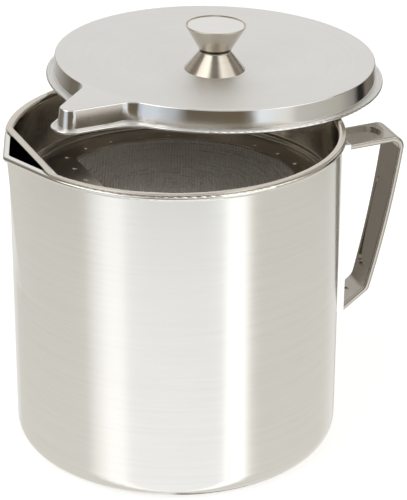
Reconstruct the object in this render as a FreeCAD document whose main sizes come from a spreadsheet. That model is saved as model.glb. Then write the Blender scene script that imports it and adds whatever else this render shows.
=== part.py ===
"""Grease container: a steel pot with a lift-out strainer, a loose lid with a knob and a strap handle.

Millimetres. The origin is the centre of the pot's flat base, +Z is up, the pouring spout points along -X.
"""
import FreeCAD, Part
import math
import os

import Sketcher

Vector = FreeCAD.Vector

doc = FreeCAD.newDocument("grease_container")
sheet = doc.addObject("Spreadsheet::Sheet", "sizes")
sheet.Label = "sizes"

SIZES = [
    # pot
    ("pot_radius", 65.0, "outside of the drawn wall"),
    ("pot_height", 129.0, "base to the top of the rim bead"),
    ("pot_wall", 0.8, "sheet of the pot"),
    ("base_corner_radius", 8.0, "outside corner between wall and base"),
    ("bead_height", 2.2, "curled rim, up and down"),
    ("bead_proud", 1.5, "curled rim, out from the wall"),
    ("bead_rounding", 1.0, "rounding of the curl"),
    ("spout_half_angle", 20.0, "from the spout's middle to where its sides leave the circle, degrees"),
    ("spout_tip_radius", 4.0, "rounding of the spout's tip on the outside of the wall"),
    ("spout_fade", 55.0, "height in which the spout runs out into the round wall"),
    # handle
    ("handle_turn", -4.7, "how far the handle sits round from the point opposite the spout, degrees"),
    ("handle_width_top", 18.4, "strap width at the top leg"),
    ("handle_width_foot", 14.0, "strap width at the lower end"),
    ("strap_thickness", 2.4, "pressed strap over its side rims"),
    ("strap_rim", 2.0, "side rim left beside each pressed panel"),
    ("strap_rounding", 0.9, "rounding of the strap's long edges"),
    ("panel_depth", 1.3, "how deep the panels are pressed"),
    ("top_leg_drop", 11.0, "rim down to the top face of the strap, where it leaves the back strap"),
    ("top_leg_rise", 1.5, "how much the top leg climbs on its way out"),
    ("grip_reach_top", 29.3, "pot wall to the outside of the grip, at its top corner"),
    ("grip_reach_foot", 16.4, "pot wall to the outside of the grip, at its foot"),
    ("grip_foot_height", 51.8, "height of the outside corner at the grip's foot"),
    ("grip_bow", 1.2, "how far the grip bows out from a straight line"),
    ("leg_foot_height", 43.3, "outside of the lower leg where it meets the back strap"),
    ("top_panel_margin", 8.0, "rounded end of the top leg's panel to the top corner"),
    ("grip_panel_top", 21.0, "rounded end of the grip's panel to the top corner"),
    ("grip_panel_foot", 6.5, "rounded end of the grip's panel to the foot corner"),
    ("leg_panel_margin", 6.0, "rounded end of the lower leg's panel to the foot corner"),
    ("grip_corner_radius", 5.0, "outside radius of the top bend"),
    ("foot_corner_radius", 3.0, "outside radius of the bottom bend"),
    ("back_strap_stand", 5.4, "face of the back strap out from the wall"),
    ("back_strap_sheet", 1.2, "sheet of the back strap"),
    ("tack_end_margin", 5.0, "first and last tack weld in from the back strap's ends"),
    ("tack_radius", 1.1, "tack welds along the back strap"),
    ("tack_count", 4, "tack welds on each side of the back strap"),
    # strainer
    ("seat_gap", 0.3, "between the rim bead and the strainer's flange"),
    ("flange_inset", 0.2, "outside of the rim bead to the flange's edge"),
    ("flange_chord_inset", 5.1, "how far the straight edge at the spout lies inside the round one"),
    ("flange_corner", 4.0, "rounding where the straight edge meets the round flange"),
    ("strainer_sheet", 0.6, "sheet of the strainer"),
    ("flange_rounding", 0.25, "rounding of the flange's outer edge"),
    ("mouth_radius", 1.8, "rounding from the flange down into the bowl"),
    ("strainer_gap", 0.5, "between the pot's wall and the strainer's wall, at the top"),
    ("strainer_chord_inset", 3.2, "flange's straight edge to the wall below it"),
    ("strainer_taper", 1.2, "how much the wall draws in on its way down"),
    ("strainer_depth", 21.0, "flange top to the ledge"),
    ("ledge_width", 1.3, "width of the ledge"),
    ("ledge_drop", 2.1, "ledge down to the plate"),
    ("ledge_rounding", 0.5, "rounding of the ledge's edge and of the corners below and above it"),
    ("opening_margin", 16.3, "outside of the pot to the round part of the mesh window"),
    ("opening_chord_inset", 33.8, "flange's straight edge to the mesh window's straight edge"),
    ("opening_corner", 3.0, "rounding of the mesh window's corners"),
    ("mesh_overlap", 7.0, "mesh and its ring held beyond the window"),
    ("mesh_thickness", 0.5, "woven wire cloth"),
    ("mesh_pitch", 4.75, "spacing of the open squares that stand for the weave"),
    ("mesh_gap", 3.3, "side of one open square"),
    ("ring_sheet", 0.8, "ring under the mesh"),
    ("weld_inset", 3.8, "spot welds beyond the window's edge"),
    ("weld_radius", 1.2, "spot weld"),
    ("weld_height", 0.25, "how far a spot weld stands up"),
    ("weld_rounding", 0.18, "rounding of a spot weld's edge"),
    ("weld_pitch", 12.5, "spot welds along the window"),
    # lid
    ("lid_overhang", 3.35, "outside of the lid's flange beyond the strainer's flange"),
    ("lid_flange", 2.36, "flange out from the lid's wall"),
    ("lid_height", 8.8, "flange underside to the top edge"),
    ("lid_sheet", 0.7, "sheet of the lid"),
    ("lid_wall_lean", 1.2, "how much the lid's wall draws in on its way up"),
    ("lid_edge_radius", 0.6, "rounding of the lid's top edge"),
    ("lid_dish", 6.3, "how far the top dips to its middle"),
    ("lid_dish_margin", 4.95, "flange's outside to where the dip starts"),
    ("lid_lip", 1.2, "rolled lip at the flange's edge, across and up"),
    ("lid_lip_rounding", 0.54, "rounding of the rolled lip"),
    ("lid_hole_gap", 0.3, "screw to the hole in the lid"),
    ("nose_reach", 16.85, "round edge of the flange to the centre of the nose's rounding"),
    ("nose_radius", 7.8, "nose rounding at the flange"),
    ("nose_side_angle", 21.2, "nose's straight sides to its axis, degrees"),
    ("nose_flange_hollow", 25.0, "hollow rounding between nose and circle, at the flange's edge"),
    ("nose_wall_hollow", 8.0, "hollow rounding between nose and circle, at the wall"),
    ("lid_shift_length", 4.05, "how much less than the pot's radius the lid lies off its axis"),
    ("lid_shift_angle", 52.2, "direction in which it lies, degrees from +X"),
    ("lid_rest_height", 1.24, "strainer's flange up to the lid flange's underside, at the lid axis"),
    ("lid_yaw", 26.6, "nose turned from the spout's direction, degrees"),
    ("lid_tilt", 1.22, "lean of the lid, degrees"),
    ("lid_tilt_angle", -14.1, "direction of its low side, degrees from +X"),
    # knob
    ("knob_base_radius", 12.7, "foot of the lower cone"),
    ("knob_waist_radius", 6.6, "waist"),
    ("knob_top_radius", 12.5, "rim of the upper cone"),
    ("knob_waist_height", 8.5, "foot to waist"),
    ("knob_height", 19.0, "foot to rim"),
    ("knob_band", 1.0, "straight band at the waist"),
    ("knob_rim_band", 0.5, "straight edge of the upper rim"),
    ("knob_sheet", 0.9, "sheet of the cones"),
    ("knob_disc_inset", 0.9, "rim's outside to the top disc"),
    ("knob_disc_drop", 0.35, "top disc below the rim"),
    ("knob_disc_sheet", 0.8, "sheet of the top disc"),
    ("insert_radius", 3.4, "threaded insert"),
    ("screw_radius", 2.0, "knob screw"),
    ("screw_gap", 0.05, "thread clearance"),
    ("screw_end_room", 0.6, "left in the insert beyond the screw's end"),
    ("insert_foot_gap", 0.1, "insert's foot above the middle of the lid's top"),
    ("screw_reach", 6.0, "how far the screw goes into the insert"),
    ("screw_head_radius", 3.6, "screw head"),
    ("screw_crown_radius", 2.6, "flat face of the screw head"),
    ("screw_rim_height", 0.85, "flat face down to the head's full width"),
    ("screw_head_height", 1.9, "screw head"),
    ("washer_radius", 5.6, "washer under the lid"),
    ("washer_gap", 0.2, "screw to the washer's hole"),
    ("washer_sheet", 0.8, "washer under the lid"),
]


def fill_sheet():
    for row, (name, value, meaning) in enumerate(SIZES, start=1):
        sheet.set(f"A{row}", name)
        sheet.set(f"B{row}", str(value))
        sheet.setAlias(f"B{row}", name)
        sheet.set(f"C{row}", meaning)
    doc.recompute()


fill_sheet()
size = {name: float(sheet.get(name)) for name, value, meaning in SIZES}

# Sizes that follow from the ones in the sheet.
bead_radius = size["pot_radius"] + size["bead_proud"]
flange_radius = bead_radius - size["flange_inset"]
flange_chord = flange_radius - size["flange_chord_inset"]
flange_top = size["pot_height"] + size["seat_gap"] + size["strainer_sheet"]
opening_radius = size["pot_radius"] - size["opening_margin"]
opening_chord = flange_chord - size["opening_chord_inset"]
plate_underside = flange_top - size["strainer_depth"] - size["ledge_drop"] - size["strainer_sheet"]
lid_radius = flange_radius + size["lid_overhang"]
lid_dish_radius = lid_radius - size["lid_dish_margin"]
strap_face = size["pot_radius"] + size["back_strap_stand"]
leg_top = size["pot_height"] - size["top_leg_drop"]
corner_height = leg_top + size["top_leg_rise"]
corner_reach = size["pot_radius"] + size["grip_reach_top"]
foot_reach = size["pot_radius"] + size["grip_reach_foot"]
beyond = 2 * size["pot_radius"]


def polar(radius, degrees, height=0.0):
    angle = math.radians(degrees)
    return Vector(radius * math.cos(angle), radius * math.sin(angle), height)


def arc(start, middle, end):
    return Part.Arc(start, middle, end).toShape()


def line(start, end):
    return Part.LineSegment(start, end).toShape()


def spout_outline(radius, tip, height, sharp=True):
    """Circle with two tangent sides that meet at the spout.

    sharp=False gives the plain circle, cut at the same places.
    """
    half = size["spout_half_angle"]
    tip_centre = (radius - tip) / math.cos(math.radians(half))
    left = polar(radius, 180 - half, height)
    right = polar(radius, 180 + half, height)
    if sharp:
        tip_left = Vector(-tip_centre, 0, height) + polar(tip, 180 - half)
        tip_right = Vector(-tip_centre, 0, height) + polar(tip, 180 + half)
        tip_end = Vector(-tip_centre - tip, 0, height)
        sides = [line(left, tip_left), arc(tip_left, tip_end, tip_right), line(tip_right, right)]
    else:
        small = math.degrees(math.atan2(tip * math.sin(math.radians(half)), radius))
        tip_left = polar(radius, 180 - small, height)
        tip_right = polar(radius, 180 + small, height)
        tip_end = polar(radius, 180, height)
        middle_left = polar(radius, 180 - (half + small) / 2, height)
        middle_right = polar(radius, 180 + (half + small) / 2, height)
        sides = [arc(left, middle_left, tip_left), arc(tip_left, tip_end, tip_right)]
        sides.append(arc(tip_right, middle_right, right))
    round_side = arc(right, polar(radius, 0, height), left)
    return Part.Wire([round_side] + sides)


def chord_outline(radius, chord, corner, height):
    """Circle cut off straight on the spout side, with rounded corners."""
    centre_x = -(chord - corner)
    centre_y = math.sqrt((radius - corner) ** 2 - centre_x**2)
    turn = math.degrees(math.atan2(centre_y, centre_x))
    edges = [arc(polar(radius, -turn, height), polar(radius, 0, height), polar(radius, turn, height))]
    top = Vector(centre_x, centre_y, height)
    low = Vector(centre_x, -centre_y, height)
    half_turn = (turn + 180) / 2
    edges.append(arc(polar(radius, turn, height), top + polar(corner, half_turn), top + polar(corner, 180)))
    edges.append(line(top + polar(corner, 180), low + polar(corner, 180)))
    edges.append(arc(low + polar(corner, 180), low + polar(corner, -half_turn), polar(radius, -turn, height)))
    return Part.Wire(edges)


def nose_outline(inset, height, hollow):
    """The lid's outline, drawn in from its edge: circle, hollow rounding, straight side, nose and back."""
    circle = lid_radius - inset
    nose = size["nose_radius"] - inset
    half = math.radians(size["nose_side_angle"])
    nose_centre = Vector(-lid_radius - size["nose_reach"], 0, height)
    out_to_side = nose - nose_centre.x * math.sin(half)
    along_side = math.sqrt((circle + hollow) ** 2 - (out_to_side + hollow) ** 2)
    axis = Vector(0, 0, height)
    halves = []
    for side in (1, -1):
        outward = Vector(-math.sin(half), side * math.cos(half), 0)
        to_nose = Vector(-math.cos(half), -side * math.sin(half), 0)
        hollow_centre = axis + outward * (out_to_side + hollow) + to_nose * along_side
        on_circle = axis + (hollow_centre - axis) * (circle / (circle + hollow))
        on_side = hollow_centre - outward * hollow
        toward = ((on_circle + on_side) * 0.5 - hollow_centre).normalize()
        halves.append((on_circle, hollow_centre + toward * hollow, on_side, nose_centre + outward * nose))
    upper, lower = halves
    edges = [arc(lower[0], Vector(circle, 0, height), upper[0])]
    edges.append(arc(upper[0], upper[1], upper[2]))
    edges.append(line(upper[2], upper[3]))
    edges.append(arc(upper[3], nose_centre - Vector(nose, 0, 0), lower[3]))
    edges.append(line(lower[3], lower[2]))
    edges.append(arc(lower[2], lower[1], lower[0]))
    return Part.Wire(edges)


def flange_outline(inset, height):
    return nose_outline(inset, height, size["nose_flange_hollow"] + inset)


def wall_outline(inset, height):
    """The lid's wall, drawn in from its outside at the flange."""
    return nose_outline(size["lid_flange"] + inset, height, size["nose_wall_hollow"] + inset)


def prism(wire, rise):
    return Part.Face(wire).extrude(Vector(0, 0, rise))


def level_edges(solid, height):
    """The edges that lie flat at one height."""
    found = []
    for edge in solid.Edges:
        box = edge.BoundBox
        if abs(box.ZMin - height) < 1e-4 and abs(box.ZMax - height) < 1e-4:
            found.append(edge)
    return found


def edges_along(solid, outline, height):
    """The level edges that follow one outline."""
    near = 0.05
    return [edge for edge in level_edges(solid, height) if edge.distToShape(outline)[0] < near]


def add_solid(label, shape, placement=None):
    """A sub-part whose shape is worked out here from the sheet's values."""
    item = doc.addObject("Part::Feature", label)
    item.Label = label
    item.Shape = shape
    if placement is not None:
        item.Placement = placement
    return item


def revolved_body(label, points, placement=None):
    """A body turned about its own Z axis. Each point is a pair of expressions: radius and height."""
    body = doc.addObject("PartDesign::Body", label)
    body.Label = label
    sketch = body.newObject("Sketcher::SketchObject", label + "_profile")
    plane = [item for item in body.Origin.OriginFeatures if item.Role == "XZ_Plane"][0]
    sketch.AttachmentSupport = [(plane, "")]
    sketch.MapMode = "FlatFace"
    spots = []
    for radius, height in points:
        x_value = float(sketch.evalExpression(radius))
        y_value = float(sketch.evalExpression(height))
        spots.append(Vector(x_value, y_value, 0))
    count = len(spots)
    for index in range(count):
        sketch.addGeometry(Part.LineSegment(spots[index], spots[(index + 1) % count]), False)
    for index in range(count):
        following = (index + 1) % count
        sketch.addConstraint(Sketcher.Constraint("Coincident", index, 2, following, 1))
    for index, (radius, height) in enumerate(points):
        if spots[index].x < 1e-9:
            sketch.addConstraint(Sketcher.Constraint("PointOnObject", index, 1, -2))
        else:
            where = sketch.addConstraint(Sketcher.Constraint("DistanceX", -1, 1, index, 1, spots[index].x))
            sketch.setExpression(f"Constraints[{where}]", radius)
        if abs(spots[index].y) < 1e-9:
            sketch.addConstraint(Sketcher.Constraint("PointOnObject", index, 1, -1))
        else:
            where = sketch.addConstraint(Sketcher.Constraint("DistanceY", -1, 1, index, 1, spots[index].y))
            sketch.setExpression(f"Constraints[{where}]", height)
    turn = body.newObject("PartDesign::Revolution", label + "_turn")
    turn.Profile = sketch
    turn.ReferenceAxis = (sketch, ["V_Axis"])
    turn.Angle = 360.0
    body.Tip = turn
    doc.recompute()
    if placement is not None:
        body.Placement = placement
    return body


def spouted_solid(inset, floor, top, corner):
    """Round column with the spout formed into its upper end."""
    radius = size["pot_radius"] - inset
    tip = size["spout_tip_radius"] - inset
    fade = size["pot_height"] - size["bead_height"] - size["spout_fade"]
    column = Part.makeCylinder(radius, fade - floor, Vector(0, 0, floor))
    column = column.makeFillet(corner, level_edges(column, floor))
    full = size["pot_height"] - size["bead_height"]
    foot = spout_outline(radius, tip, fade, False)
    flare = Part.makeLoft([foot, spout_outline(radius, tip, full)], True, True)
    neck = prism(spout_outline(radius, tip, full), top - full)
    return column.fuse([flare, neck]).removeSplitter()


def make_pot():
    wall = size["pot_wall"]
    top = size["pot_height"]
    bead_low = top - size["bead_height"]
    outside = spouted_solid(0.0, 0.0, top, size["base_corner_radius"])
    inside = spouted_solid(wall, wall, top + 1.0, size["base_corner_radius"] - wall)
    proud = size["bead_proud"]
    tip = size["spout_tip_radius"] + proud
    bead = prism(spout_outline(size["pot_radius"] + proud, tip, bead_low), size["bead_height"])
    bead = bead.makeFillet(size["bead_rounding"], level_edges(bead, top) + level_edges(bead, bead_low))
    pot = outside.fuse(bead).cut(inside)
    return add_solid("pot_body", pot.removeSplitter())


def handle_place():
    return FreeCAD.Placement(Vector(0, 0, 0), FreeCAD.Rotation(Vector(0, 0, 1), size["handle_turn"]))


def loop_corners():
    """The four corners of the strap loop's outside, in the XZ plane: low, foot, top corner, high."""
    low = Vector(strap_face, 0, size["leg_foot_height"])
    foot = Vector(foot_reach, 0, size["grip_foot_height"])
    corner = Vector(corner_reach, 0, corner_height)
    high = Vector(strap_face, 0, leg_top)
    return low, foot, corner, high


def grip_side(inset):
    """Side view of the whole strap loop, drawn in by inset from its outside."""
    low, foot, corner, high = loop_corners()
    along = corner - foot
    outward = Vector(along.z, 0, -along.x).normalize()
    bowed = (corner + foot) * 0.5 + outward * size["grip_bow"]
    loop = [line(low, foot), arc(foot, bowed, corner), line(corner, high), line(high, low)]
    face = Part.Face(Part.Wire(loop))
    if inset > 0:
        face = face.makeOffset2D(-inset, join=2)
    return face


def side_to_side(face, width):
    solid = face.extrude(Vector(0, width, 0))
    solid.translate(Vector(0, -width / 2, 0))
    return solid


def round_bend(solid, point, radius):
    """Rounds the cross edge of a side view that passes through one point."""
    near = [e for e in solid.Edges if e.distToShape(Part.Vertex(point))[0] < 1e-3 and is_cross(e)]
    return solid.makeFillet(radius, near)


def is_cross(edge):
    ends = edge.Vertexes
    return len(ends) == 2 and abs(ends[0].X - ends[1].X) < 1e-6 and abs(ends[0].Z - ends[1].Z) < 1e-6


def pressed_panel(start, end, depth_way, width, depth, rounded_start):
    """A shallow pocket between two points of a strap face, with a round far end.

    depth_way points into the strap.
    """
    along = end - start
    length = along.Length
    along.normalize()
    side = Vector(0, 1, 0)
    half = width / 2
    near = half if rounded_start else 0.0
    first = start + along * near
    last = start + along * (length - half)
    corners = [first + side * half, last + side * half, last - side * half, first - side * half]
    end_edge = arc(corners[1], last + along * half, corners[2])
    start_edge = line(corners[3], corners[0])
    if rounded_start:
        start_edge = arc(corners[3], first - along * half, corners[0])
    wire = Part.Wire([line(corners[0], corners[1]), end_edge, line(corners[2], corners[3]), start_edge])
    face = Part.Face(wire)
    face.translate(depth_way * -depth)
    return face.extrude(depth_way * (2 * depth))


def make_handle_strap():
    thick = size["strap_thickness"]
    wide = size["handle_width_top"]
    low, foot, corner, high = loop_corners()
    half_way = Vector(0, -wide / 2, 0)
    outside = side_to_side(grip_side(0.0), wide)
    outside = round_bend(outside, corner + half_way, size["grip_corner_radius"])
    outside = round_bend(outside, foot + half_way, size["foot_corner_radius"])
    inside = side_to_side(grip_side(thick), wide)
    inner_bend = max(size["grip_corner_radius"] - thick, thick / 4)
    inside = round_bend(inside, farthest_cross(inside, True), inner_bend)
    inside = round_bend(inside, farthest_cross(inside, False), size["foot_corner_radius"] + thick)
    open_back = side_to_side(window_behind(thick), wide)
    strap = outside.cut([inside, open_back]).common(tapered_block(0.0, strap_face, corner_reach))
    strap = largest(strap)
    strap = strap.makeFillet(size["strap_rounding"], long_edges(strap))
    return add_solid("handle_strap", largest(strap.cut(strap_panels())), handle_place())


def long_edges(strap):
    """The strap's edges along its two sides, without those at its ends on the back strap."""
    found = []
    for edge in strap.Edges:
        box = edge.BoundBox
        at_back = box.XMax < strap_face + size["strap_rounding"] / 10
        if not at_back and not is_cross(edge) and box.YMin * box.YMax > 0:
            found.append(edge)
    return found


def strap_panels():
    """Shallow pressed panels: upper face of the top leg, inner face of the grip, upper face of the lower leg."""
    thick = size["strap_thickness"]
    rims = 2 * size["strap_rim"]
    narrow = size["handle_width_foot"] - rims
    depth = size["panel_depth"]
    low, foot, corner, high = loop_corners()
    along_top = (corner - high).normalize()
    down = Vector(along_top.z, 0, -along_top.x)
    top_end = corner - along_top * size["top_panel_margin"]
    panels = [pressed_panel(high, top_end, down, size["handle_width_top"] - rims, depth, False)]
    along_grip = (foot - corner).normalize()
    outward = Vector(-along_grip.z, 0, along_grip.x)
    grip_start = corner + along_grip * size["grip_panel_top"] - outward * thick
    grip_end = foot - along_grip * size["grip_panel_foot"] - outward * thick
    panels.append(pressed_panel(grip_start, grip_end, outward, narrow + size["strap_rim"] / 2, depth, True))
    along_low = (foot - low).normalize()
    up = Vector(-along_low.z, 0, along_low.x)
    leg_start = low + up * thick
    leg_end = foot + up * thick - along_low * size["leg_panel_margin"]
    panels.append(pressed_panel(leg_start, leg_end, up * -1, narrow, depth / 2, False))
    return panels


def window_behind(thick):
    """Opens the loop's back: the space between the two legs, next to the back strap."""
    low, foot, corner, high = loop_corners()
    slope = (foot - low).normalize()
    climb = (corner - high).normalize()
    low_inner = low + Vector(0, 0, thick / slope.x)
    high_inner = high - Vector(0, 0, thick / climb.x)
    reach = 2 * thick
    low_out = low_inner + slope * (reach / slope.x)
    high_out = high_inner + climb * (reach / climb.x)
    corners = [low_inner, low_out, high_out, high_inner]
    loop = [line(start, end) for start, end in zip(corners, corners[1:] + corners[:1])]
    return Part.Face(Part.Wire(loop))


def half_width(height):
    """Half the strap's width at a height: it narrows evenly from its top to its lower end."""
    share = (height - size["leg_foot_height"]) / (corner_height - size["leg_foot_height"])
    foot = size["handle_width_foot"]
    return (foot + (size["handle_width_top"] - foot) * share) / 2


def tapered_block(inset, start, end):
    """A block between two distances from the pot's axis, as wide as the strap less an inset on each side."""
    top = corner_height + size["strap_thickness"]
    low = size["leg_foot_height"] - size["strap_thickness"]
    upper = half_width(top) - inset
    lower = half_width(low) - inset
    spots = [(-upper, top), (upper, top), (lower, low), (-lower, low)]
    corners = [Vector(start, y, z) for y, z in spots]
    edges = [line(corners[i], corners[(i + 1) % 4]) for i in range(4)]
    return Part.Face(Part.Wire(edges)).extrude(Vector(end - start, 0, 0))


def farthest_cross(solid, highest):
    """A point on the inner cross edge that lies at the top corner of the grip, or at its foot."""
    spots = [edge.Vertexes[0].Point for edge in solid.Edges if is_cross(edge)]
    spots = [spot for spot in spots if spot.x > strap_face + 2 * size["strap_thickness"]]
    return max(spots, key=lambda spot: spot.z if highest else -spot.z)


def largest(shape):
    return max(shape.Solids, key=lambda solid: solid.Volume)


def pot_column():
    return Part.makeCylinder(size["pot_radius"], size["pot_height"])


def make_back_strap():
    """Channel that stands on the pot's wall and carries both ends of the strap."""
    sheet_thick = size["back_strap_sheet"]
    low = size["leg_foot_height"]
    wall = size["pot_radius"] - size["back_strap_stand"]
    level = Part.makeBox(beyond, beyond, leg_top - low, Vector(0, -size["pot_radius"], low))
    block = tapered_block(0.0, wall, strap_face).common(level)
    slot = tapered_block(sheet_thick, 0.0, strap_face - sheet_thick)
    return add_solid("handle_back_strap", largest(block.cut([slot, pot_column()])), handle_place())


def make_tacks():
    """Tack welds between the back strap's two edges and the wall."""
    radius = size["tack_radius"]
    count = int(size["tack_count"])
    margin = size["tack_end_margin"]
    first = size["leg_foot_height"] + margin
    step = (leg_top - first - margin) / (count - 1)
    column = pot_column()
    channel = tapered_block(0.0, 0.0, beyond)
    tacks = []
    for side in (1, -1):
        for index in range(count):
            height = first + index * step
            half = half_width(height)
            wall_x = math.sqrt(size["pot_radius"] ** 2 - half**2)
            middle = Vector(wall_x + radius / 5, side * half, height)
            ball = Part.makeSphere(radius, middle)
            ball.rotate(middle, Vector(0, 1, 0), 90)
            tacks.append(largest(ball.cut(channel).cut(column)))
    return add_solid("handle_tack_welds", Part.makeCompound(tacks), handle_place())


def make_strainer_pan():
    sheet_thick = size["strainer_sheet"]
    top = flange_top
    ledge = top - size["strainer_depth"]
    plate = ledge - size["ledge_drop"]
    outer = size["pot_radius"] - size["pot_wall"] - size["strainer_gap"]
    chord = flange_chord - size["strainer_chord_inset"]
    corner = size["flange_corner"]
    taper = size["strainer_taper"]
    ledge_in = size["ledge_width"]

    def bowl(inset, lowest, highest):
        upper = chord_outline(outer - inset, chord - inset, corner - inset, highest)
        lower = chord_outline(outer - taper - inset, chord - taper - inset, corner - inset, lowest)
        return Part.makeLoft([upper, lower], True, True)

    def well(inset, lowest, highest):
        shift = taper + ledge_in + inset
        return prism(chord_outline(outer - shift, chord - shift, corner - inset, lowest), highest - lowest)

    flange_line = chord_outline(flange_radius, flange_chord, corner, top)
    flange = prism(flange_line, -sheet_thick)
    wall = bowl(0.0, ledge - sheet_thick, top - sheet_thick / 2)
    outside = flange.fuse([wall, well(0.0, plate - sheet_thick, ledge)])
    inside = bowl(sheet_thick, ledge, top + 0.01).fuse(well(sheet_thick, plate, ledge + 0.1))
    pan = outside.cut(inside)
    mouth = chord_outline(outer - sheet_thick, chord - sheet_thick, corner - sheet_thick, top)
    pan = pan.makeFillet(size["mouth_radius"], edges_along(pan, mouth, top))
    pan = pan.makeFillet(size["flange_rounding"], edges_along(pan, flange_line, top))
    low = taper + sheet_thick
    wall_foot = chord_outline(outer - low, chord - low, corner - sheet_thick, ledge)
    low = low + ledge_in
    ledge_line = chord_outline(outer - low, chord - low, corner - sheet_thick, ledge)
    plate_line = chord_outline(outer - low, chord - low, corner - sheet_thick, plate)
    for outline, height in ((wall_foot, ledge), (ledge_line, ledge), (plate_line, plate)):
        pan = pan.makeFillet(size["ledge_rounding"], edges_along(pan, outline, height))
    window = prism(opening_outline(0.0, plate - 2 * sheet_thick), 3 * sheet_thick)
    return add_solid("strainer_pan", largest(pan.cut(window)))


def opening_outline(grow, height):
    return chord_outline(opening_radius + grow, opening_chord + grow, size["opening_corner"] + grow, height)


def make_mesh():
    """Wire cloth under the window. A grid of open squares stands for its weave."""
    height = plate_underside - size["mesh_thickness"]
    outline = opening_outline(size["mesh_overlap"], height)
    pitch = size["mesh_pitch"]
    half = size["mesh_gap"] / 2
    steps = int(opening_radius / pitch) + 1
    holes = []
    for column in range(-steps, steps + 1):
        for row in range(-steps, steps + 1):
            x_mid = column * pitch
            y_mid = row * pitch
            outside_round = math.hypot(abs(x_mid) + half, abs(y_mid) + half) > opening_radius
            past_chord = x_mid - half < -opening_chord
            if outside_round or past_chord:
                continue
            corners = [(-half, -half), (half, -half), (half, half), (-half, half), (-half, -half)]
            holes.append(Part.makePolygon([Vector(x_mid + dx, y_mid + dy, height) for dx, dy in corners]))
    face = Part.Face([outline] + holes)
    face.validate()
    return add_solid("strainer_mesh", face.extrude(Vector(0, 0, size["mesh_thickness"])))


def make_mesh_ring():
    height = plate_underside - size["mesh_thickness"] - size["ring_sheet"]
    outer = prism(opening_outline(size["mesh_overlap"], height), size["ring_sheet"])
    inner = prism(opening_outline(0.0, height), size["ring_sheet"])
    return add_solid("mesh_backing_ring", outer.cut(inner))


def make_mesh_welds():
    """Spot welds that hold plate, mesh and ring together, evenly spaced outside the window."""
    height = plate_underside + size["strainer_sheet"]
    path = opening_outline(size["weld_inset"], height)
    count = int(round(path.Length / size["weld_pitch"]))
    buttons = []
    for spot in path.discretize(count + 1)[:count]:
        button = Part.makeCylinder(size["weld_radius"], size["weld_height"], spot)
        rim = level_edges(button, height + size["weld_height"])
        buttons.append(button.makeFillet(size["weld_rounding"], rim))
    return add_solid("mesh_spot_welds", Part.makeCompound(buttons))


def lid_place():
    away = size["pot_radius"] - size["lid_shift_length"]
    place = polar(away, size["lid_shift_angle"], flange_top + size["lid_rest_height"])
    low_side = polar(1.0, size["lid_tilt_angle"])
    tilt_axis = Vector(0, 0, 1).cross(low_side)
    tilt = FreeCAD.Rotation(tilt_axis, size["lid_tilt"])
    yaw = FreeCAD.Rotation(Vector(0, 0, 1), size["lid_yaw"])
    return FreeCAD.Placement(place, tilt.multiply(yaw))


def dish_ball(grow):
    """The ball whose surface is the dished top."""
    dip = size["lid_dish"]
    edge = lid_dish_radius
    radius = (edge**2 + dip**2) / (2 * dip)
    middle = size["lid_height"] - dip + radius
    return Part.makeSphere(radius + grow, Vector(0, 0, middle))


def make_lid_cover():
    sheet_thick = size["lid_sheet"]
    height = size["lid_height"]
    lean = size["lid_wall_lean"]
    shell = Part.makeLoft([wall_outline(0.0, 0.0), wall_outline(lean, height)], True, True)
    shell = shell.makeFillet(size["lid_edge_radius"], level_edges(shell, height))
    shell = shell.cut(dish_ball(0.0))
    under = height - sheet_thick
    room = [wall_outline(sheet_thick, 0.0), wall_outline(sheet_thick + lean, under)]
    room = Part.makeLoft(room, True, True).cut(dish_ball(sheet_thick))
    lip = size["lid_lip"]
    roll = prism(flange_outline(0.0, 0.0), lip)
    roll = roll.makeFillet(size["lid_lip_rounding"], level_edges(roll, lip) + level_edges(roll, 0.0))
    roll = roll.cut(prism(flange_outline(lip, -lip), 3 * lip))
    flange = prism(flange_outline(lip / 2, 0.0), sheet_thick)
    cover = shell.fuse([flange, roll]).cut(room)
    hole = Part.makeCylinder(size["screw_radius"] + size["lid_hole_gap"], height)
    return add_solid("lid_cover", largest(cover.cut(hole)), lid_place())


def on_lid(height):
    """A place on the lid's own axis."""
    return lid_place().multiply(FreeCAD.Placement(Vector(0, 0, height), FreeCAD.Rotation()))


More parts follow.
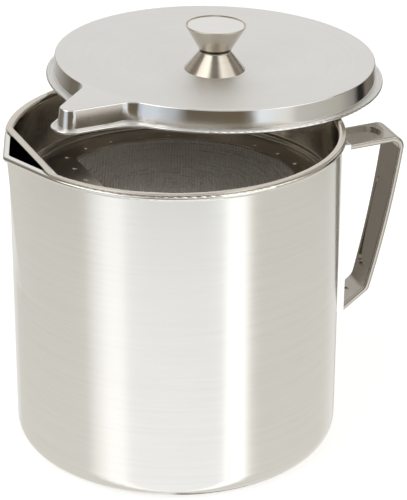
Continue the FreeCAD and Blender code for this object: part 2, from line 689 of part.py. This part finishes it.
def make_knob():
    foot = size["lid_height"] - size["lid_dish"]
    lift = dish_rise("sizes.knob_base_radius")
    base_place = on_lid(foot + float(sheet.evalExpression(lift)))
    base = [
        ("sizes.knob_base_radius - sizes.knob_sheet", "0"),
        ("sizes.knob_base_radius", "0"),
        ("sizes.knob_waist_radius", "sizes.knob_waist_height - sizes.knob_band"),
        ("sizes.knob_waist_radius", "sizes.knob_waist_height"),
        ("0", "sizes.knob_waist_height"),
        ("0", "sizes.knob_waist_height - sizes.knob_sheet"),
        ("sizes.knob_waist_radius - sizes.knob_sheet", "sizes.knob_waist_height - sizes.knob_sheet"),
    ]
    revolved_body("knob_lower_cone", base, base_place)
    disc_top = "sizes.knob_height - sizes.knob_disc_drop"
    disc_radius = "sizes.knob_top_radius - sizes.knob_disc_inset"
    upper = [
        ("0", "sizes.knob_waist_height"),
        ("sizes.knob_waist_radius", "sizes.knob_waist_height"),
        ("sizes.knob_top_radius", "sizes.knob_height - sizes.knob_rim_band"),
        ("sizes.knob_top_radius", "sizes.knob_height"),
        ("sizes.knob_top_radius - sizes.knob_disc_inset / 2", "sizes.knob_height"),
        (disc_radius, disc_top),
        (disc_radius, disc_top + " - sizes.knob_disc_sheet"),
        ("sizes.knob_waist_radius - sizes.knob_sheet / 2", "sizes.knob_waist_height + sizes.knob_sheet"),
        ("0", "sizes.knob_waist_height + sizes.knob_sheet"),
    ]
    revolved_body("knob_upper_cone", upper, base_place)
    disc = [
        ("0", disc_top + " - sizes.knob_disc_sheet"),
        (disc_radius, disc_top + " - sizes.knob_disc_sheet"),
        (disc_radius, disc_top),
        ("0", disc_top),
    ]
    revolved_body("knob_top_disc", disc, base_place)
    insert_low = f"sizes.insert_foot_gap - ({lift})"
    insert = [
        ("sizes.screw_radius + sizes.screw_gap", insert_low),
        ("sizes.insert_radius", insert_low),
        ("sizes.insert_radius", "sizes.knob_waist_height - sizes.knob_sheet"),
        ("0", "sizes.knob_waist_height - sizes.knob_sheet"),
        ("0", "sizes.screw_reach + sizes.screw_end_room"),
        ("sizes.screw_radius + sizes.screw_gap", "sizes.screw_reach + sizes.screw_end_room"),
    ]
    revolved_body("knob_insert", insert, base_place)
    under = foot - size["lid_sheet"]
    washer = [
        ("sizes.screw_radius + sizes.washer_gap", "0"),
        ("sizes.washer_radius", "0"),
        ("sizes.washer_radius", "sizes.washer_sheet"),
        ("sizes.screw_radius + sizes.washer_gap", "sizes.washer_sheet"),
    ]
    revolved_body("knob_washer", washer, on_lid(under - size["washer_sheet"]))
    shank = "sizes.screw_head_height + sizes.washer_sheet + sizes.lid_sheet + sizes.screw_reach"
    screw = [
        ("0", "0"),
        ("sizes.screw_crown_radius", "0"),
        ("sizes.screw_head_radius", "sizes.screw_rim_height"),
        ("sizes.screw_head_radius", "sizes.screw_head_height"),
        ("sizes.screw_radius", "sizes.screw_head_height"),
        ("sizes.screw_radius", shank),
        ("0", shank),
    ]
    revolved_body("knob_screw", screw, on_lid(under - size["washer_sheet"] - size["screw_head_height"]))


def dish_rise(radius):
    """Expression for how much higher the dished top is at a radius than at its middle."""
    flange = "sizes.pot_radius + sizes.bead_proud - sizes.flange_inset + sizes.lid_overhang"
    edge = f"({flange} - sizes.lid_dish_margin)"
    ball = f"(({edge} ^ 2 + sizes.lid_dish ^ 2) / (2 * sizes.lid_dish))"
    return f"({ball} - sqrt({ball} ^ 2 - ({radius}) ^ 2))"


def build():
    make_pot()
    make_handle_strap()
    make_back_strap()
    make_tacks()
    make_strainer_pan()
    make_mesh()
    make_mesh_ring()
    make_mesh_welds()
    make_lid_cover()
    make_knob()
    doc.recompute()


NODES = [
    "pot_body",
    "handle_strap",
    "handle_back_strap",
    "handle_tack_welds",
    "strainer_pan",
    "strainer_mesh",
    "mesh_backing_ring",
    "mesh_spot_welds",
    "lid_cover",
    "knob_lower_cone",
    "knob_upper_cone",
    "knob_top_disc",
    "knob_insert",
    "knob_washer",
    "knob_screw",
]


def check_and_write():
    for item in doc.Objects:
        bad = [word for word in item.State if word in ("Invalid", "Error")]
        if bad:
            raise RuntimeError(f"{item.Label} is {bad}")
    os.makedirs("parts", exist_ok=True)
    for name in NODES:
        item = doc.getObjectsByLabel(name)[0]
        shape = item.Shape
        if shape.isNull() or not shape.isValid() or shape.Volume <= 0:
            raise RuntimeError(f"{name} has no valid solid")
        print(f"{name}: {len(shape.Solids)} solid(s), {shape.Volume:.1f} mm3")
        shape.exportStep(f"parts/{name}.step")


build()
check_and_write()
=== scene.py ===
"""Grease container in a plain white studio: steel materials, woven mesh, floor, light and camera."""
import math

import bpy
from mathutils import Matrix, Vector

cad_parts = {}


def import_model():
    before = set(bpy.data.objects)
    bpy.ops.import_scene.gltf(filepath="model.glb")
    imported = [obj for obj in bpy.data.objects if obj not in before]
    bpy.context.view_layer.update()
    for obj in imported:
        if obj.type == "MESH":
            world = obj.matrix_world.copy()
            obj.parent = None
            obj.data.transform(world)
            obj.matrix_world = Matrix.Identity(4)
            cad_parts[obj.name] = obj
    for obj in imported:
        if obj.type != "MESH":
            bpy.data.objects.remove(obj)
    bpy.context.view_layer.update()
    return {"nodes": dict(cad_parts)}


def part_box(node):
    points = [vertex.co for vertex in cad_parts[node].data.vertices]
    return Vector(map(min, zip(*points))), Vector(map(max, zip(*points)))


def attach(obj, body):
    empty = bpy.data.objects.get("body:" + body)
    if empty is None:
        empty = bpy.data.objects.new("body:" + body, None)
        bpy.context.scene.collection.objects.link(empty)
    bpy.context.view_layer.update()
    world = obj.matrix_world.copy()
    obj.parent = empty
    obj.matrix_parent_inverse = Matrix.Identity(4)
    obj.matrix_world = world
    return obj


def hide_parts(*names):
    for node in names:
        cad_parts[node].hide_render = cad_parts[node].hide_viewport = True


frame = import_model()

MM = 0.001
NODES = frame["nodes"]

# The photograph was taken from this side of the model, in degrees from +X.
CAMERA_SIDE = -112.5

# The camera's distance from the pot's axis and its height above the table, in millimetres.
CAMERA_DISTANCE = 768.6
CAMERA_HEIGHT = 426.7


def spot(angle, radius, height):
    """A point in metres, from an angle in degrees and two lengths in millimetres."""
    turn = math.radians(angle)
    return Vector((radius * MM * math.cos(turn), radius * MM * math.sin(turn), height * MM))


# Node helpers


class Tree:
    """Short names for building a shader."""

    def __init__(self, data):
        self.data = data
        self.nodes = data.nodes
        self.nodes.clear()

    def add(self, kind, **settings):
        node = self.nodes.new("ShaderNode" + kind)
        for name, value in settings.items():
            setattr(node, name, value)
        return node

    def join(self, source, target):
        self.data.links.new(source, target)

    def put(self, socket, value):
        """A number goes on the socket, another node's output is linked to it."""
        if hasattr(value, "links"):
            self.join(value, socket)
        else:
            socket.default_value = value

    def math(self, operation, first, second=0.0, third=0.0):
        node = self.add("Math", operation=operation)
        for socket, value in zip(node.inputs, (first, second, third)):
            self.put(socket, value)
        return node.outputs[0]

    def ramp(self, factor, stops):
        """Coloured ramp. Each stop is a place and a colour."""
        node = self.add("ValToRGB")
        node.color_ramp.interpolation = "LINEAR"
        points = node.color_ramp.elements
        while len(points) < len(stops):
            points.new(0.5)
        for point, (place, colour) in zip(points, stops):
            point.position = place
            point.color = (*colour, 1.0)
        self.put(node.inputs["Fac"], factor)
        return node.outputs["Color"]

    def noise(self, vector, scale, detail, roughness=0.5):
        node = self.add("TexNoise")
        self.put(node.inputs["Vector"], vector)
        node.inputs["Scale"].default_value = scale
        node.inputs["Detail"].default_value = detail
        node.inputs["Roughness"].default_value = roughness
        return node.outputs["Fac"]

    def span(self, value, low, high):
        """Spreads a 0 to 1 value between two numbers."""
        node = self.add("MapRange")
        self.put(node.inputs["Value"], value)
        node.inputs["To Min"].default_value = low
        node.inputs["To Max"].default_value = high
        return node.outputs["Result"]


def place_from(tree, centre):
    """Position measured from a centre, in the row frame."""
    where = tree.add("TexCoord").outputs["Object"]
    shift = tree.add("VectorMath", operation="SUBTRACT")
    tree.join(where, shift.inputs[0])
    shift.inputs[1].default_value = centre
    return shift.outputs["Vector"]


def turned_place(tree, centre, round_scale, up_scale):
    """Cylindrical place about a vertical axis, for marks that run round: angle, radius and height."""
    parts = tree.add("SeparateXYZ")
    tree.join(place_from(tree, centre), parts.inputs[0])
    across, along = parts.outputs["X"], parts.outputs["Y"]
    angle = tree.math("ARCTAN2", along, across)
    square = tree.math("MULTIPLY_ADD", across, across, tree.math("MULTIPLY", along, along))
    joined = tree.add("CombineXYZ")
    tree.join(tree.math("MULTIPLY", angle, round_scale), joined.inputs["X"])
    tree.join(tree.math("MULTIPLY", tree.math("SQRT", square), up_scale), joined.inputs["Y"])
    tree.join(tree.math("MULTIPLY", parts.outputs["Z"], up_scale), joined.inputs["Z"])
    return joined.outputs["Vector"]


def blend(tree, factor, first, second):
    """Mixes two colours: the first at 0, the second at 1."""
    node = tree.add("Mix", data_type="RGBA")
    tree.put(node.inputs["Factor"], factor)
    for socket, value in ((node.inputs["A"], first), (node.inputs["B"], second)):
        tree.put(socket, value)
    return node.outputs["Result"]


def step_between(tree, value, low, high):
    """A soft step from 0 at the low value to 1 at the high one."""
    node = tree.add("MapRange", interpolation_type="SMOOTHSTEP")
    tree.put(node.inputs["Value"], value)
    node.inputs["From Min"].default_value = low
    node.inputs["From Max"].default_value = high
    return node.outputs["Result"]


# Steel


# How much fine marks and soft clouds change the tone, and how far the tone goes from the colour.
MARK_TONE = 0.2
CLOUD_TONE = 0.12
TONE_RANGE = 0.14
CLOUD_SCALE = 45.0
MARK_HEIGHT = 0.02 * MM
MARK_STRENGTH = 0.1
# Painted shade in a crease is fully dark up to the first distance from its height, and ends at the second.
CREASE_SHADE_COLOUR = (0.05, 0.04, 0.03, 1.0)
CREASE_CORE = 0.3 * MM
CREASE_END = 1.1 * MM
# Two faces that meet at more than this angle, in degrees, keep a sharp edge.
EDGE_ANGLE = 30.0


def level_share(tree):
    """0 on upright walls, 1 on faces that look up or down."""
    parts = tree.add("SeparateXYZ")
    tree.join(tree.add("NewGeometry").outputs["Normal"], parts.inputs[0])
    return step_between(tree, tree.math("ABSOLUTE", parts.outputs["Z"]), 0.6, 0.95)


def paint_crease_shade(tree, height, colour):
    """Paints shade into a colour in a narrow band at one height, where a crease is."""
    parts = tree.add("SeparateXYZ")
    tree.join(place_from(tree, (0, 0, height)), parts.inputs[0])
    share = step_between(tree, tree.math("ABSOLUTE", parts.outputs["Z"]), CREASE_CORE, CREASE_END)
    return blend(tree, share, CREASE_SHADE_COLOUR, colour)


def steel(
    name,
    colour,
    rough,
    wall_rough=None,
    spread=0.05,
    centre=(0, 0, 0),
    marks=(1.5, 900.0),
    shaded_crease=None,
):
    """Rolled or turned steel: fine marks that run round an axis change its gloss and tone a little.

    wall_rough is the roughness of upright faces where it differs, and spread how far the roughness varies.
    marks are the marks' scales round the axis and across it. The height of a crease, where given, gets a
    narrow band of painted shade.
    """
    material = bpy.data.materials.new(name)
    material.use_nodes = True
    tree = Tree(material.node_tree)
    shader = tree.add("BsdfPrincipled")
    out = tree.add("OutputMaterial")
    tree.join(shader.outputs[0], out.inputs["Surface"])
    shader.inputs["Metallic"].default_value = 1.0
    lines = tree.noise(turned_place(tree, centre, *marks), 1.0, 4.0, 0.6)
    clouds = tree.noise(place_from(tree, centre), CLOUD_SCALE, 3.0)
    mark_tone = tree.span(lines, -MARK_TONE, MARK_TONE)
    cloud_tone = tree.span(clouds, -CLOUD_TONE, CLOUD_TONE)
    tone = tree.math("ADD", mark_tone, cloud_tone)
    dark = (*[part * (1 - TONE_RANGE) for part in colour], 1.0)
    light = (*[min(1.0, part * (1 + TONE_RANGE)) for part in colour], 1.0)
    shade = blend(tree, tree.math("ADD", tone, 0.5), dark, light)
    # Painted shade: a near-black band at the crease height.
    if shaded_crease is not None:
        shade = paint_crease_shade(tree, shaded_crease, shade)
    tree.join(shade, shader.inputs["Base Color"])
    base = rough
    if wall_rough is not None:
        base = tree.math("MULTIPLY_ADD", level_share(tree), rough - wall_rough, wall_rough)
    wear = tree.math("ADD", tree.span(lines, -spread, spread), tree.span(clouds, -spread / 2, spread / 2))
    tree.join(tree.math("ADD", base, wear), shader.inputs["Roughness"])
    bump = tree.add("Bump")
    bump.inputs["Strength"].default_value = MARK_STRENGTH
    bump.inputs["Distance"].default_value = MARK_HEIGHT
    tree.join(lines, bump.inputs["Height"])
    tree.join(bump.outputs["Normal"], shader.inputs["Normal"])
    return material


def dress(node, material):
    for slot in NODES[node].material_slots:
        slot.material = material


def smooth(node):
    """Smooth shading on curved faces, sharp at real edges.

    Broad faces keep their own direction beside small roundings.
    """
    mesh = NODES[node].data
    mesh.shade_smooth()
    mesh.set_sharp_from_angle(angle=math.radians(EDGE_ANGLE))
    keep = NODES[node].modifiers.new("broad_faces", "WEIGHTED_NORMAL")
    keep.keep_sharp = True


def middle(node):
    low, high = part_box(node)
    return (low + high) / 2


def dress_all():
    knob = middle("knob_lower_cone")
    axis = (knob.x, knob.y, 0.0)
    pot = steel("pot_satin", (0.9, 0.885, 0.86), 0.16, spread=0.03)
    handle = steel("handle_polish", (0.5, 0.47, 0.425), 0.16, spread=0.04, marks=(0.4, 400.0))
    strainer = steel("strainer_polish", (0.7, 0.655, 0.59), 0.2, 0.14)
    lid = steel("lid_satin", (0.92, 0.91, 0.89), 0.5, 0.1, 0.03, axis, (1.5, 1200.0))
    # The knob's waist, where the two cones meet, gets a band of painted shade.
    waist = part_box("knob_lower_cone")[1].z
    knob_finish = steel(
        "knob_polish", (0.64, 0.6, 0.53), 0.2, spread=0.03, centre=axis, marks=(0.5, 900.0), shaded_crease=waist
    )
    pale = steel("back_strap_satin", (0.93, 0.915, 0.89), 0.2)
    disc = steel("disc_polish", (0.92, 0.91, 0.88), 0.22, centre=axis, marks=(0.5, 900.0))
    plain = steel("fastener_plain", (0.6, 0.59, 0.57), 0.3)
    weld = steel("weld_dull", (0.42, 0.38, 0.33), 0.3)
    finishes = {
        "pot_body": pot,
        "handle_strap": handle,
        "handle_back_strap": pale,
        "handle_tack_welds": weld,
        "strainer_pan": strainer,
        "mesh_backing_ring": strainer,
        "mesh_spot_welds": strainer,
        "lid_cover": lid,
        "knob_lower_cone": knob_finish,
        "knob_upper_cone": knob_finish,
        "knob_top_disc": disc,
        "knob_insert": plain,
        "knob_washer": plain,
        "knob_screw": plain,
    }
    for node, material in finishes.items():
        dress(node, material)


# Woven cloth


# Distance between wires, radius of a wire, and how far the wires' ends lie inside the backing ring's edge.
WIRE_PITCH = 1.15 * MM
WIRE_RADIUS = 0.2 * MM
WIRE_END = 5.0 * MM


def weave():
    """Fine wire cloth in the strainer's window, in place of the CAD sheet."""
    low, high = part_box("strainer_mesh")
    level = (low.z + high.z) / 2
    ring_low, ring_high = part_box("mesh_backing_ring")
    radius = ring_high.x - WIRE_END
    chord = ring_low.x + WIRE_END
    wave = (high.z - low.z) / 2 - WIRE_RADIUS
    curve = bpy.data.curves.new("wire_cloth", "CURVE")
    curve.dimensions = "3D"
    curve.bevel_depth = WIRE_RADIUS
    curve.bevel_resolution = 1
    curve.use_fill_caps = True
    steps = int(radius / WIRE_PITCH)
    for set_number in (0, 1):
        # The first set of wires lies level in the photograph, the second runs across it.
        angle = math.radians(CAMERA_SIDE + 90 * (1 + set_number))
        along = Vector((math.cos(angle), math.sin(angle), 0.0))
        aside = Vector((-along.y, along.x, 0.0))
        for index in range(-steps, steps + 1):
            across = index * WIRE_PITCH
            half = math.sqrt(max(radius**2 - across**2, 0.0))
            first, last = -half, half
            # The window's straight side cuts the wires off.
            reach = (chord - across * aside.x) / along.x
            if along.x > 0:
                first = max(first, reach)
            else:
                last = min(last, reach)
            start = math.ceil(first / WIRE_PITCH)
            stop = math.floor(last / WIRE_PITCH)
            if stop - start < 2:
                continue
            points = []
            for crossing in range(start, stop + 1):
                sign = 1 if (crossing + index) % 2 == 0 else -1
                lift = wave * sign * (1 if set_number == 0 else -1)
                place = along * (crossing * WIRE_PITCH) + aside * across
                points.append((place.x, place.y, level + lift))
            spline = curve.splines.new("POLY")
            spline.points.add(len(points) - 1)
            for point, co in zip(spline.points, points):
                point.co = (*co, 1.0)
    cloth = bpy.data.objects.new("wire_cloth", curve)
    bpy.context.scene.collection.objects.link(cloth)
    material = steel("wire_steel", (0.68, 0.645, 0.6), 0.28)
    cloth.data.materials.append(material)
    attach(cloth, "strainer")
    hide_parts("strainer_mesh")


# Studio


FLOOR_WIDTH = 12.0
FLOOR_DROP = 0.2 * MM


def floor():
    """Pale table top that keeps the shadow. Polished steel sees the world's lit table in its place."""
    bpy.ops.mesh.primitive_plane_add(size=FLOOR_WIDTH, location=(0, 0, -FLOOR_DROP))
    plane = bpy.context.object
    plane.name = "floor"
    material = bpy.data.materials.new("floor_white")
    material.use_nodes = True
    tree = Tree(material.node_tree)
    paint = tree.add("BsdfDiffuse")
    paint.inputs["Color"].default_value = (0.93, 0.93, 0.93, 1.0)
    glow = tree.add("Emission")
    glow.inputs["Strength"].default_value = 0.5
    path = tree.add("LightPath")
    nothing = tree.add("BsdfTransparent")
    lit = tree.add("AddShader")
    tree.join(paint.outputs[0], lit.inputs[0])
    tree.join(glow.outputs[0], lit.inputs[1])
    seen = tree.add("MixShader")
    tree.join(path.outputs["Is Camera Ray"], seen.inputs["Fac"])
    tree.join(paint.outputs[0], seen.inputs[1])
    tree.join(lit.outputs[0], seen.inputs[2])
    mirrored = tree.add("MixShader")
    tree.join(path.outputs["Is Glossy Ray"], mirrored.inputs["Fac"])
    tree.join(seen.outputs[0], mirrored.inputs[1])
    tree.join(nothing.outputs[0], mirrored.inputs[2])
    out = tree.add("OutputMaterial")
    tree.join(mirrored.outputs[0], out.inputs["Surface"])
    plane.data.materials.append(material)


# Light round the object, in degrees from the camera's side. The pot's wall mirrors the table side,
# the lid's wall and the strainer mirror the room above it.
TABLE_SIDE = [
    (-180, (0.85, 0.84, 0.81)),
    (-158, (0.80, 0.79, 0.76)),
    (-150, (0.67, 0.65, 0.60)),
    (-66, (0.69, 0.67, 0.62)),
    (-58, (0.90, 0.89, 0.85)),
    (-48, (1.12, 1.11, 1.08)),
    (-38, (1.12, 1.11, 1.08)),
    (-32, (0.93, 0.93, 0.92)),
    (32, (0.91, 0.91, 0.90)),
    (38, (1.28, 1.28, 1.25)),
    (48, (1.28, 1.28, 1.25)),
    (55, (0.72, 0.70, 0.65)),
    (62, (0.67, 0.65, 0.60)),
    (130, (0.68, 0.66, 0.61)),
    (150, (0.78, 0.76, 0.72)),
    (162, (0.80, 0.78, 0.74)),
    (170, (0.30, 0.27, 0.23)),
    (180, (0.24, 0.21, 0.18)),
]
ROOM_SIDE = [
    (-180, (0.80, 0.79, 0.77)),
    (-150, (0.45, 0.43, 0.40)),
    (-120, (0.16, 0.14, 0.11)),
    (-70, (0.22, 0.20, 0.17)),
    (-58, (0.60, 0.64, 0.68)),
    (-42, (0.68, 0.74, 0.80)),
    (-28, (0.45, 0.46, 0.48)),
    (-19, (0.13, 0.11, 0.08)),
    (18, (0.14, 0.11, 0.07)),
    (24, (0.25, 0.23, 0.20)),
    (30, (0.85, 0.90, 0.94)),
    (50, (0.78, 0.77, 0.72)),
    (58, (0.55, 0.53, 0.48)),
    (95, (0.45, 0.43, 0.38)),
    (112, (0.26, 0.24, 0.21)),
    (118, (0.02, 0.02, 0.02)),
    (126, (0.02, 0.02, 0.02)),
    (131, (0.20, 0.17, 0.14)),
    (150, (0.16, 0.14, 0.11)),
    (160, (0.50, 0.48, 0.45)),
    (180, (0.80, 0.79, 0.77)),
]
# Higher up, the same on both sides: from over the camera round to the pale backdrop behind the object.
CEILING = [
    (0, (0.75, 0.74, 0.71)),
    (50, (0.60, 0.58, 0.54)),
    (75, (0.26, 0.23, 0.19)),
    (115, (0.26, 0.23, 0.19)),
    (145, (0.78, 0.77, 0.75)),
    (180, (0.84, 0.83, 0.81)),
]
# In degrees above the horizon: where the table gives way to the room, and the room's sides to its ceiling.
TABLE_EDGE = (-21.4, -19.6)
CEILING_EDGE = (8, 22)
# The dark gap above the camera: from how high to how high, how soft its edges are, and how far it goes aside.
DARK_GAP = (46, 62)
GAP_SOFTNESS = 4
GAP_SIDE = (30, 18)
GAP_COLOUR = (0.08, 0.07, 0.06, 1.0)
# The table is a little brighter close to the object, at these angles and by this share.
NEAR_TABLE = (-24, -31)
NEAR_TABLE_LIFT = 0.06


def side_bands(tree, place, bands):
    """The light of a list of bands, at a place from 0 at its first angle to 1 at its last."""
    first, last = bands[0][0], bands[-1][0]
    stops = [((degrees - first) / (last - first), light) for degrees, light in bands]
    return tree.ramp(place, stops)


def world():
    """White to the camera. The object sees a lit table, and above it light panels with dark gaps between."""
    studio = bpy.data.worlds.new("studio")
    bpy.context.scene.world = studio
    studio.use_nodes = True
    tree = Tree(studio.node_tree)
    direction = tree.add("TexCoord").outputs["Generated"]
    turn = tree.add("VectorRotate", rotation_type="Z_AXIS")
    tree.join(direction, turn.inputs["Vector"])
    turn.inputs["Angle"].default_value = math.radians(-CAMERA_SIDE)
    turned = tree.add("SeparateXYZ")
    tree.join(turn.outputs[0], turned.inputs[0])
    angle = tree.math("ARCTAN2", turned.outputs["Y"], turned.outputs["X"])
    place = tree.math("MULTIPLY_ADD", angle, 1 / (2 * math.pi), 0.5)
    up = tree.math("DIVIDE", tree.math("ARCSINE", turned.outputs["Z"]), math.pi / 180)
    above_table = step_between(tree, up, *TABLE_EDGE)
    sides = blend(tree, above_table, side_bands(tree, place, TABLE_SIDE), side_bands(tree, place, ROOM_SIDE))
    aside = tree.math("ABSOLUTE", tree.math("MULTIPLY", angle, 180 / math.pi))
    ceiling = side_bands(tree, tree.math("DIVIDE", aside, 180), CEILING)
    above = blend(tree, step_between(tree, up, *CEILING_EDGE), sides, ceiling)
    low, high = DARK_GAP
    half = (high - low) / 2
    off = tree.math("ABSOLUTE", tree.math("SUBTRACT", up, (low + high) / 2))
    in_height = step_between(tree, off, half + GAP_SOFTNESS, half - GAP_SOFTNESS)
    in_side = step_between(tree, aside, *GAP_SIDE)
    light = blend(tree, tree.math("MULTIPLY", in_height, in_side), above, GAP_COLOUR)
    room = tree.add("Background")
    tree.join(light, room.inputs["Color"])
    near = step_between(tree, up, *NEAR_TABLE)
    tree.join(tree.math("MULTIPLY_ADD", near, NEAR_TABLE_LIFT, 1.0), room.inputs["Strength"])
    white = tree.add("Background")
    white.inputs["Color"].default_value = (1, 1, 1, 1)
    path = tree.add("LightPath")
    both = tree.add("MixShader")
    tree.join(path.outputs["Is Camera Ray"], both.inputs["Fac"])
    tree.join(room.outputs[0], both.inputs[1])
    tree.join(white.outputs[0], both.inputs[2])
    out = tree.add("OutputWorld")
    tree.join(both.outputs[0], out.inputs["Surface"])


LAMP_WIDTH = 1.5
LAMP_AIM = Vector((0, 0, 0.1))


def lamp(name, angle, distance, height, watts):
    """A large square lamp that faces the pot. Distance and height are in millimetres."""
    data = bpy.data.lights.new(name, "AREA")
    data.shape = "SQUARE"
    data.size = LAMP_WIDTH
    data.energy = watts
    place = spot(angle, distance, height)
    item = bpy.data.objects.new(name, data)
    item.location = place
    item.rotation_euler = (LAMP_AIM - place).to_track_quat("-Z", "Y").to_euler()
    bpy.context.scene.collection.objects.link(item)


def lamps():
    lamp("lamp_left", CAMERA_SIDE - 60, 1400, 1300, 9.0)
    lamp("lamp_right", CAMERA_SIDE + 70, 1400, 1200, 6.0)


def camera():
    """Fitted to the pot's rim, base and sides in the photograph. Angles are in radians."""
    pan = 0.0144
    tilt = 0.426
    roll = 0.0052
    data = bpy.data.cameras.new("camera")
    data.sensor_fit = "VERTICAL"
    data.sensor_height = 36.0
    data.lens = 152.06
    data.clip_start = 0.05
    data.clip_end = 50.0
    item = bpy.data.objects.new("camera", data)
    facing = math.radians(CAMERA_SIDE + 180) - pan
    forward = Vector((math.cos(facing) * math.cos(tilt), math.sin(facing) * math.cos(tilt), -math.sin(tilt)))
    right = Vector((math.sin(facing), -math.cos(facing), 0.0))
    up = right.cross(forward)
    rolled_right = right * math.cos(roll) + up * math.sin(roll)
    rolled_up = up * math.cos(roll) - right * math.sin(roll)
    turn = Matrix((rolled_right, rolled_up, -forward)).transposed()
    item.matrix_world = Matrix.Translation(spot(CAMERA_SIDE, CAMERA_DISTANCE, CAMERA_HEIGHT)) @ turn.to_4x4()
    bpy.context.scene.collection.objects.link(item)
    bpy.context.scene.camera = item


bpy.context.scene.view_settings.view_transform = "Standard"
dress_all()
for node_name in NODES:
    smooth(node_name)
weave()
floor()
world()
lamps()
camera()
